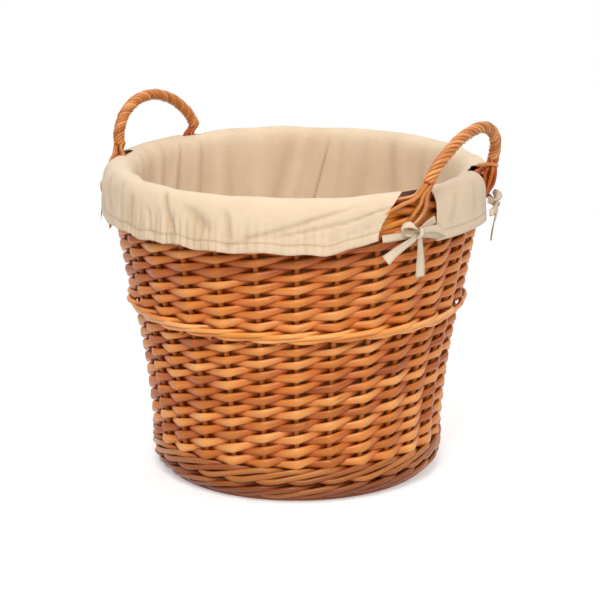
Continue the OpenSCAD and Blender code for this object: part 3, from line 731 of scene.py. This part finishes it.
def leg_points(side, end, angles):
    """For each strand, its points at a leg. Each takes the route that lies nearest to it round the rope."""
    routes = LEG_ROUTES[side, end]
    order = np.argsort(angles % (2 * math.pi))
    places = np.radians([route[0] for route in routes])

    def strain(shift):
        gap = angles[np.roll(order, shift)] - places
        return np.sum(1 - np.cos(gap))

    best = min(range(len(routes)), key=strain)
    points = {}
    for strand, (_, route) in zip(np.roll(order, best), routes):
        points[int(strand)] = [beside_leg(side, end, *p) for p in route]
    return points


def handle(side):
    """The twisted strands of one handle: out of the border at one leg, round the arch, in at the other"""
    rods = Strands(12)
    first = 2 * math.pi * np.arange(ROPE_STRANDS) / ROPE_STRANDS
    last = first - 2 * math.pi * ROPE_TURNS[side]
    before, after = leg_points(side, 1, first), leg_points(side, -1, last)
    for k in range(ROPE_STRANDS):
        knots, axis = [], []
        for t in np.linspace(0, 1, 61):
            share = 0.015 + 0.97 * t
            axis.append(arch_point(side, share, 0, 0))
            uneven = 0.22 * math.sin(4 * t * math.pi + side) * math.sin(math.pi * t)
            w = first[k] - 2 * math.pi * ROPE_TURNS[side] * t + uneven
            loose = 1 + 0.05 * math.sin(9 * t + 2 * k)
            knots.append(arch_point(side, share, BUNDLE * loose, w))
        path = smooth_path([*before[k][::-1], *knots, *after[k]], 5)
        n = len(path)
        inside = np.array([side * LEG_R * 0.93, 0, LEG_Z])
        core = smooth_path([*[inside] * len(before[k]), *axis, *[inside] * len(after[k])], 5)
        ends = np.interp(np.arange(n), [0, 12, n - 12, n - 1], [0.8, 1, 1, 0.8])
        girth = 1 + wander(2, 0.035, 70 + 7 * k + side, 0.06)(np.linspace(0, 1, n))
        size = ROPE_R * RNG.normal(1, 0.05) * ends * girth
        # groove paints shade on the side of each strand that faces the rope's core, so the grooves between
        # strands look dark
        rods.add(path, unit(path - core), size, size * 1.02, deep=-0.2, groove=1.25)
    return rods


def wrapped_end():
    """The strand that takes a last turn round the far neck of the right-hand handle, with a short cut end"""
    route = [
        (0.1, 12, 26), (0.17, 17.5, 29), (0.12, 22.5, 32), (0, 20.5, 34.5), (-0.08, 14, 35),
        (-0.13, 6.5, 33.5), (-0.15, 0, 31.5),
    ]
    return smooth_path([beside_leg(1, 1, *p) for p in route], 6)


for side, where in ((1, "right"), (-1, "left")):
    rods = handle(side)
    if side > 0:
        wrap = wrapped_end()
        rods.add(wrap, unit(wrap - np.array([LEG_R * 0.9, 0.02, LEG_Z])), ROPE_R, ROPE_R, tone=0.7)
    nodes = (f"handle_roping_{where}", f"handle_lashings_{where}")
    willow_piece(rods.build(f"{where}_handle_rope", ROPE), *nodes, slot="rope_willow")

# ---- liner

CLOTH_T = 1.1 * MM
CORNER = LEG_ANGLE + math.radians(5.5)
# Slant of the cuff's ends: mm below the crest, and degrees round
EDGE_DROP, EDGE_TURN = (0, 12, 23, 49, 64), (0, 3.2, 5.7, 9.0, 10.2)
FLAP_HALF = LEG_ANGLE - math.radians(4.5)
LINER_OFF = -(WEAVE_OFF + 3.3 * MM + 2.2 * MM)
FLOOR_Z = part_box("liner_base_panel")[0][2] + CLOTH_T / 2
BAND = 10 * MM  # depth of the stitched hem
# Section of the turned-over cloth from inside the border to the hem: radius and height in mm
OVER = np.array([
    (206.4, 366), (207.3, 376), (210, 384.5), (214.5, 390.5), (220.5, 393.8), (227, 394.4), (233.5, 392.2),
    (238.8, 387.4), (242.4, 380.5), (243.9, 373), (244.3, 364), (244.4, 355.5), (244.7, 347), (245.2, 341),
    (245.5, 334.8),
]) * MM
TUCK = np.array([(243.6, 333.2), (241.7, 335.2), (241.3, 339), (241.4, 344.5)]) * MM
INNER_ROWS = 44  # of the mesh, below the turned-over part


def profile():
    """Section of the cloth from its foot to the tucked edge, as radius, height and length along it.
    The cloth hangs straight down inside the rim until it meets the wall."""
    s = np.linspace(12 * MM, np.interp(357 * MM, WALL[3], WALL[0]), INNER_ROWS)
    r, z, _ = wall(s, LINER_OFF)
    hang = OVER[0, 0] - 0.02 * (OVER[0, 1] - z)
    r = -2 * MM * np.log(np.exp(-r / (2 * MM)) + np.exp(-hang / (2 * MM)))
    points = np.vstack([np.stack([r, z], axis=-1), smooth_path(np.vstack([OVER, TUCK]), 3)])
    return points, run_length(points)


PROFILE, LENGTH = profile()
CREST_V = LENGTH[INNER_ROWS + 3 * 5]
SLIT_V = LENGTH[INNER_ROWS + 3 * 4]
HEM_V = LENGTH[INNER_ROWS + 3 * (len(OVER) - 1)]
DROP = np.maximum(LENGTH - CREST_V, 0)  # how far down outside each row lies
HEM_REACH = 244.9 * MM  # least radius of the cloth outside the elastic
CLOTH_R, FOLD_R, SEAM_R = 235 * MM, 240 * MM, 220 * MM  # where angles are turned into lengths


def bell(x, width):
    return np.exp(-((x / width) ** 2))


def eased(x):
    """x held between 0 and 1, with a soft start and end"""
    x = np.clip(x, 0, 1)
    return x * x * (3 - 2 * x)


def near(angle):
    """The same angle between half a turn back and half a turn on"""
    return (angle + math.pi) % (2 * math.pi) - math.pi


def waves(turn, low, high, seed, terms=8):
    """A smooth random wave round the rim, about -1 to 1, with low to high crests in a full turn"""
    rng = np.random.default_rng(seed)
    counts, shifts = rng.integers(low, high + 1, terms), rng.uniform(0, 2 * math.pi, terms)
    sizes = rng.uniform(0.5, 1, terms)
    return sum(a * np.cos(k * turn + b) for k, a, b in zip(counts, sizes, shifts)) / np.sqrt(np.sum(sizes**2))


def pleats(turn, count, seed):
    """1 on the crown of a gather and 0 in its sharp valley; count in a full turn, unevenly spaced"""
    phase = count / 2 * turn + 0.55 * waves(turn, 6, 24, seed)
    return np.abs(np.sin(phase)) ** 0.8


def valleys(turn, up, folds):
    """Depth of all the folds at each place. Each is a valley from start to end that fades at both ends."""
    total = 0
    for start, end, width, depth in folds:
        t = (up - start[1] * MM) / ((end[1] - start[1]) * MM)
        centre = np.radians(start[0] + (end[0] - start[0]) * np.clip(t, -0.4, 1.4))
        fade = eased(np.interp(t, [-0.35, 0.12, 0.75, 1.35], [0, 1, 1, 0]))
        total = total + depth * MM * fade * bell(near(turn - centre) * FOLD_R, width * MM)
    return total


# Outside folds in mm: (start, end, width, depth), where start and end are (degrees round, below the crest)
OUTER_FOLDS = [
    ((-113, 26), (-113, 58), 7, 4), ((-99, 14), (-94.5, 58), 5.5, 4.6), ((-89, 24), (-84, 46), 11, 3.4),
    ((-104.5, 36), (-103, 60), 4, 2.4), ((-78, 26), (-76.5, 60), 5, 2.6), ((-120, 18), (-119, 60), 5, 2.4),
    ((-72, 54), (-45, 20), 9, 3), ((-64, 50), (-30, 24), 10, 2.6), ((-56, 58), (-36, 46), 6, 1.2),
    ((-131, 14), (-127, 56), 7, 2.6), ((-141, 20), (-138, 58), 6, 2.2),
    ((57, 16), (63, 58), 7, 3.2), ((75, 8), (71, 56), 6, 2.8), ((92, 14), (98, 58), 7, 3.4),
    ((112, 20), (84, 52), 10, 2.4),
    ((121, 14), (126, 58), 6, 3), ((139, 20), (136, 58), 6, 2.4), ((44, 22), (42, 58), 6, 2.2),
    ((-5, 18), (-8, 56), 7, 1.6), ((6, 14), (5, 56), 8, 1.8), ((173, 18), (176, 56), 7, 1.8),
    ((186, 22), (184, 56), 7, 1.6),
]
# Inside folds: the same, with places above the crest along the section, so that they are negative
INNER_FOLDS = [
    ((125, -14), (136, -150), 13, 5), ((116, -16), (124, -110), 8, 2.6), ((103, -20), (108.5, -170), 8, 3.4),
    ((93, -16), (99, -120), 9, 3.2), ((82, -14), (78, -150), 11, 3.2), ((66, -20), (71, -190), 10, 3.4),
    ((50, -14), (46, -130), 10, 2.8), ((161.5, -14), (165.5, -170), 8, 4.4),
    ((170.5, -12), (176, -90), 7, 3.6),
    ((151, -18), (149, -110), 8, 2.4), ((181, -16), (187, -150), 9, 3.2), ((197, -12), (203, -130), 9, 3.4),
    ((34, -20), (30, -170), 10, 3), ((18, -16), (22, -140), 10, 3), ((2, -20), (-3, -180), 10, 3.2),
    ((218, -16), (213, -150), 10, 3.2), ((234, -20), (240, -180), 10, 3.4), ((256, -14), (252, -130), 9, 3),
    ((276, -18), (281, -170), 10, 3.4), ((300, -16), (306, -140), 10, 3.2),
    ((322, -20), (318, -170), 10, 3.2),
    ((340, -14), (345, -120), 9, 3),
]
# Seams: (degrees round 50 mm below the crest, and 110 mm below it)
SEAMS = [(111.5, 115.8), (291.5, 295.8)]


def gather(turn):
    """How strongly the elastic gathers the hem at each angle"""
    d = np.degrees(near(turn))
    front = 0.30 + 0.95 * bell(d + 94, 24) + 0.2 * bell(d + 52, 12)
    back = 0.5 + 0.5 * bell(d - 85, 30)
    return np.where(d < 0, front, back)


def columns():
    """(start, end, number, kind) of each sector round the rim, in radians"""
    half_turn = (
        (-FLAP_HALF, FLAP_HALF, 90, "flap"), (FLAP_HALF, CORNER, 20, "slit"),
        (CORNER, math.pi - CORNER, 640, "cuff"), (math.pi - CORNER, math.pi - FLAP_HALF, 20, "slit"),
    )
    return [(base + a, base + b, *kind) for base in (0, math.pi) for a, b, *kind in half_turn]


def shape_cloth(turn, rows, kind):
    """Radius, height and hollow at each column and row. hollow is how much painted shade the cloth takes
    there.
    """
    r = PROFILE[rows, 0][:, None] + 0 * turn
    z = PROFILE[rows, 1][:, None] + 0 * turn
    v, drop = LENGTH[rows][:, None], DROP[rows][:, None]
    up = v - CREST_V  # negative inside
    outside, tucked = drop > 0, v > HEM_V + 2 * MM
    dent, bulge = np.zeros(r.shape), np.zeros(r.shape)
    middle = bell(drop - 34 * MM, 20 * MM) * outside
    if kind == "cuff":
        swing = np.clip((np.abs(np.sin(turn)) - 0.43) / 0.2, 0.1, 1)
        strength = gather(turn) * swing
        low = eased((drop - 16 * MM) / (36 * MM))
        fine = 0.65 + 0.35 * waves(turn, 9, 30, 21)
        dent = dent + (1 - pleats(turn, 156, 5)) * low**2 * strength * fine * 3.0 * MM
        dent = dent + (1 - pleats(turn + 0.3 * (v - HEM_V), 46, 9)) * low * strength * 2.2 * MM
        dent = dent + (1 - pleats(turn, 300, 7)) * bell(v - HEM_V + 6 * MM, 6 * MM) * 0.7 * MM * strength
        bulge = bulge + (1.9 * low**2 * strength + 1.5 * waves(turn, 8, 26, 31) * middle * swing) * MM
        z = z + (1.7 * waves(turn, 10, 40, 17) - 0.9) * MM * np.clip((drop - 48 * MM) / (10 * MM), 0, 1)
        end = np.degrees(np.arcsin(np.abs(np.sin(turn))))
        lift = np.interp(end, [34, 40, 45.4, 50], [12.5, 6, 1, 0]) * MM
        z = z + lift * np.clip(drop / (62 * MM), 0, 1) ** 1.5
    crest = bell(up, 24 * MM)
    z = z + 0.9 * MM * waves(turn, 7, 22, 43) * crest * (kind != "slit")
    dent = dent + valleys(turn, up, OUTER_FOLDS) * np.clip(drop / (10 * MM), 0, 1)
    hung = np.clip(-up / (16 * MM), 0, 1) * np.clip(v / (60 * MM), 0, 1)
    soft = (0.9 + 0.9 * waves(turn + 0.5 * up, 14, 44, 51)) * MM
    lay = (valleys(turn, up, INNER_FOLDS) + soft) * hung
    line = np.zeros(r.shape)
    for high, deep in SEAMS:
        centre = np.radians(high + (deep - high) * np.clip((-up - 50 * MM) / (60 * MM), -0.5, 3))
        gap = near(turn - centre) * SEAM_R
        line = np.maximum(line, bell(gap, 1.1 * MM) * np.clip((-up - 26 * MM) / (20 * MM), 0, 1))
        ridge = bell(gap - 2.2 * MM, 2.4 * MM) - bell(gap + 1.4 * MM, 1.6 * MM)
        lay = lay + 1.6 * MM * ridge * hung
    stitch = bell(v - (HEM_V - BAND), 0.9 * MM) * (kind != "slit")
    dent = np.where(tucked, np.minimum(dent, 0.4 * MM), dent + 0.8 * MM * stitch)
    bulge = np.where(tucked, 0, bulge)
    reach = r + bulge - dent
    hem_side = outside & ~tucked & (z < 348 * MM)
    reach = np.where(hem_side, np.maximum(reach, HEM_REACH), reach)
    # hollow is painted shade: darker in the dents of folds and gathers, along the stitched hem, in the inside
    # folds and along the seam lines.
    hollow = np.clip(dent / (4.4 * MM), 0, 1) * 0.6 * ~tucked + 0.45 * stitch + 0.05 * lay / MM + 0.9 * line
    return reach - lay, z, np.clip(hollow, 0, 1)


def liner_cloth():
    """The sewn sheet: side panel, cuffs and flaps. The slits between cuffs and flaps end at SLIT_V."""
    slit_rows = int(np.searchsorted(LENGTH, SLIT_V)) + 1
    verts, at, hollow, grid = [], [], [], []
    count = 0
    for start, end, number, kind in columns():
        rows = np.arange(slit_rows if kind == "slit" else len(PROFILE))
        t = np.linspace(0, 1, number + 1)
        if kind == "slit":
            t = t[1:-1]  # the sectors beside it have its first and last column
        middle, half = (start + end) / 2, (end - start) / 2
        shift = np.zeros((len(rows), 1))
        if kind == "cuff":
            shift = -np.radians(np.interp(DROP[rows] / MM, EDGE_DROP, EDGE_TURN))[:, None]
        turn = middle + (half + shift) * (2 * t[None, :] - 1)
        r, z, h = shape_cloth(turn, rows, kind)
        flat = np.stack([turn * CLOTH_R, LENGTH[rows][:, None] + 0 * turn, 0 * turn], axis=-1)
        grid.append(count + np.arange(turn.size).reshape(turn.shape))
        count += turn.size
        verts.append(polar(r, turn, z).reshape(-1, 3))
        at.append(flat.reshape(-1, 3))
        hollow.append(h.reshape(-1))
    faces = []
    for i, ids in enumerate(grid):
        after = grid[(i + 1) % len(grid)]
        shared = min(len(ids), len(after))
        joined = np.concatenate([ids[:shared], after[:shared, :1]], axis=1)
        for part in (joined, ids[shared - 1:]):
            a, b, c, d = part[:-1, :-1], part[:-1, 1:], part[1:, 1:], part[1:, :-1]
            faces.append(np.stack([a, b, c, d], axis=-1).reshape(-1, 4))
    at = np.vstack(at)
    looks = {
        "cloth": at,
        "hollow": np.concatenate(hollow),
        "behind": np.clip((CREST_V - 26 * MM - at[:, 1]) / (12 * MM), 0, 0.96),
    }
    return cloth_mesh("liner_cloth", np.vstack(verts), np.vstack(faces), **looks)


def cloth_mesh(name, verts, faces, **attributes):
    piece = mesh_piece(name, verts, faces.tolist(), LINEN, **attributes)
    solid = piece.modifiers.new("thickness", "SOLIDIFY")
    solid.thickness, solid.offset = CLOTH_T, 0
    return piece


def liner_floor():
    """The round base panel, laid on the base weave"""
    rings, spokes, reach = 26, 160, 153 * MM
    turn = np.linspace(0, 2 * math.pi, spokes, endpoint=False)[None, :]
    rise = np.linspace(0, 1, 7)[1:]  # the edge turns up to the seam with the side cloth
    seam_r, seam_z = PROFILE[2] - (0.9 * MM, 0)
    r = np.concatenate([np.linspace(0.01, 1, rings - 6) * reach, reach + (seam_r - reach) * rise])[:, None]
    lift = np.concatenate([np.zeros(rings - 6), (seam_z - FLOOR_Z - 0.8 * MM) * rise**1.5])[:, None]
    inner = np.sin(np.minimum(r / reach, 1) * math.pi)
    soft = 0.8 * MM * np.sin(3 * turn + 40 * r) * inner * np.cos(5 * turn)
    block = polar(r, turn, FLOOR_Z + 0.8 * MM + soft + lift)
    ids = np.arange(rings * spokes).reshape(rings, spokes)
    a, b = ids[:-1], np.roll(ids, -1, 1)[:-1]
    c, d = np.roll(ids, -1, 1)[1:], ids[1:]
    faces = np.stack([d, c, b, a], axis=-1).reshape(-1, 4)
    verts = block.reshape(-1, 3)
    return cloth_mesh("liner_floor", verts, faces, cloth=verts, hollow=np.zeros(len(verts)))


def liner_piece(piece, *nodes, slot="liner_cloth"):
    return dress(piece, "liner", *nodes, slot=slot)


main = liner_piece(liner_cloth(), "liner_side_panel", "cuff_front", "cuff_back", "flap_right", "flap_left")
floor_panel = liner_piece(liner_floor(), "liner_base_panel")

# ---- ties

KNOT_TURN = LEG_ANGLE + math.radians(3.6)
KNOT_R, KNOT_Z = 245.8 * MM, 348.5 * MM
TAPE_W, TAPE_T = 10 * MM, 0.9 * MM


class Tapes(Tubes):
    """Flat tapes with rounded edges. place puts points from beside a knot into space."""

    def __init__(self, place):
        super().__init__()
        self.place = place

    def add(self, knots, widths=None, curl=0.0):
        """knots are (along, out, up, wx, wy, wz): a point of the middle line and the way across the tape.
        widths are shares of the tape's width. curl bows the tape across its width."""
        knots = np.asarray(knots, float)
        widths = np.ones(len(knots)) if widths is None else np.asarray(widths, float)
        k = smooth_path(np.column_stack([knots[:, :3] * MM, knots[:, 3:], widths]), 7)
        path, n = k[:, :3], len(k)
        tangent = unit(np.gradient(path, axis=0))
        across = unit(k[:, 3:6] - tangent * np.sum(k[:, 3:6] * tangent, axis=1, keepdims=True))
        face = np.cross(tangent, across)
        half = k[:, 6] * TAPE_W / 2
        u = np.array([-1, -0.94, -0.5, 0, 0.5, 0.94, 1, 0.94, 0.5, 0, -0.5, -0.94])
        lift = np.array([0, -1, -1, -1, -1, -1, 0, 1, 1, 1, 1, 1]) / 2
        bow = curl * (1 - u**2) + 0.25 * MM * np.sin(u * 7)
        ring = (
            path[:, None, :]
            + across[:, None, :] * (half[:, None] * u[None, :])[:, :, None]
            + face[:, None, :] * (lift * TAPE_T + bow)[None, :, None]
        )
        flat = np.broadcast_arrays(half[:, None] * u, run_length(path)[:, None], 0.0)
        # The tape takes a little of the cloth's painted hollow shade all over, and more at its rounded edges.
        hollow = np.tile(0.12 + 0.5 * (np.abs(u) > 0.9), n)
        ring = self.place(ring.reshape(-1, 3)).reshape(ring.shape)
        self.tube(ring, cloth=np.stack(flat, axis=-1).reshape(-1, 3), hollow=hollow)


def tie_place(right, front):
    """Puts (along, out, up) beside a knot. along runs from the flap towards the cuff, round the rim."""
    hidden = front and not right  # lies flatter, and further round from the camera
    short = (1, 1, 0.86) if right and not front else (1, 1, 1)

    def place(local):
        local = local * (1, 0.6, 1) - (9 * MM, 0, 0) if hidden else local * short
        turn = (KNOT_TURN + local[:, 0] / KNOT_R) * (1 if right != front else -1)
        turn = turn + (0 if right else math.pi)
        r = KNOT_R + local[:, 1]
        return polar(r, turn, KNOT_Z + local[:, 2])

    return place


UP = (0, 0, 1)
# Middle lines in mm: along the rim towards the cuff, outwards from the knot, and up; then the way
# across the tape. The cuff's tape makes the loop and tail on the flap's side of the knot.
CUFF_BAND = [
    (46, -1, -3, *UP), (30, 0.3, -2, *UP), (16, 1.5, -1, *UP), (6, 4, 0, 0, 0.1, 1), (0, 6.5, 0, 0, 0.1, 1),
]
FLAP_BAND = [
    (-30, 0.5, 12, 0.3, 0, 1), (-20, 1.2, 9, 0.3, 0, 1), (-11, 2.4, 5, 0.3, 0, 1), (-4, 4.5, 2, 0.2, 0.2, 1),
    (0, 6, 0, 0, 0.2, 1),
]
LONG_LOOP = [
    (-2, 5, 2, 0, 0.4, 1), (-12, 9, 4, 0, 0.3, 1), (-24, 10.5, 3, 0.1, 0.1, 1), (-34, 9, -2, 0.2, 0, 1),
    (-38, 6.5, -4.5, 0.2, 0, 1), (-34, 4.5, -6, 0.1, 0, 1), (-24, 4, -5, 0, 0.2, 1),
    (-12, 4.5, -3, 0, 0.4, 1), (-2, 6, -2, 0, 0.5, 1),
]
SHORT_LOOP = [
    (2, 5, 1, 0.1, 0.8, 0.6), (7, 9, 8, 0.4, 0.8, 0.2), (14, 9, 13, 0.8, 0.5, -0.4),
    (21, 6.5, 12, 0.7, 0.5, -0.6), (23, 5, 7, 0.2, 0.6, -0.7), (17, 4.5, 3, 0, 0.5, -0.9),
    (9, 5, 1, 0, 0.5, -0.9), (2, 6, 0, 0, 0.5, -0.9),
]
SIDE_TAIL = [
    (1, 7, -1, 0.3, 0.3, 1), (10, 8, -6, 0.6, 0.2, 1), (22, 6, -13, 0.6, 0.1, 1), (34, 4, -21, 0.7, -0.1, 1),
    (44, 4.5, -28, 0.8, -0.2, 0.9),
]
DOWN_TAIL = [
    (-1, 7, -2, 1, 0.4, 0), (-1, 7.5, -13, 1, 0.25, 0), (-3, 5.5, -26, 1, 0.1, 0.1),
    (-5, 3, -40, 1, -0.15, 0.1), (-6, 1.5, -55, 1, -0.1, 0.15),
]
KNOT = [(a, b, c, 0.9, 0, 0.3) for a, b, c in (
    (3.5, 3.5, -4.5), (2.5, 8.5, -4.5), (-0.5, 10.5, 0), (-2.5, 8.5, 4.5), (-3, 3.5, 5), (0, 1.5, 0),
)]


def varied(knots, rng, size):
    """The same tape laid a little differently; its start stays in the knot"""
    k = np.array(knots, float)
    shift = np.cumsum(rng.normal(0, size, (len(k), 3)), axis=0) * np.linspace(0, 1, len(k))[:, None]
    shift[:, 1] = np.abs(shift[:, 1]) * 0.4
    k[:, :3] += shift
    return k


def tie(right, front):
    rng = np.random.default_rng(40 + 2 * right + front)
    size = 0.0 if right and front else 1.3
    place = tie_place(right, front)
    cuff, flap = Tapes(place), Tapes(place)
    cuff.add(CUFF_BAND)
    cuff.add(varied(LONG_LOOP, rng, size * 0.5), [0.7, 0.95, 1, 1, 1, 1, 1, 0.9, 0.7], curl=0.6 * MM)
    cuff.add(varied(DOWN_TAIL, rng, size), [0.7, 0.9, 1.05, 1.15, 1.25], curl=0.9 * MM)
    flap.add(FLAP_BAND)
    flap.add(varied(SHORT_LOOP, rng, size * 0.5), [0.7, 0.9, 1, 1, 1, 1, 0.9, 0.7], curl=0.8 * MM)
    flap.add(varied(SIDE_TAIL, rng, size), [0.7, 0.85, 1, 1.15, 1.4], curl=0.8 * MM)
    flap.add(KNOT, np.full(len(KNOT), 0.62), curl=0.7 * MM)
    where = ("front" if front else "back") + "_" + ("right" if right else "left")
    for tapes, kind, flat in ((cuff, "cuff", 0.225), (flap, "flap", 0.205)):
        piece = liner_piece(tapes.build(f"{where}_{kind}_tie", TAPE), f"tie_{where}_{kind}", slot="tie_tape")


for is_right in (True, False):
    for is_front in (True, False):
        tie(is_right, is_front)

# ---- CAD pieces that stay


def paint(material, *nodes):
    for node in nodes:
        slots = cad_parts[node].data.materials
        slots.clear()
        slots.append(material)


paint(STICK, "side_stakes", "base_sticks", "handle_bow_right", "handle_bow_left")
paint(ELASTIC, "elastic_front", "elastic_back")
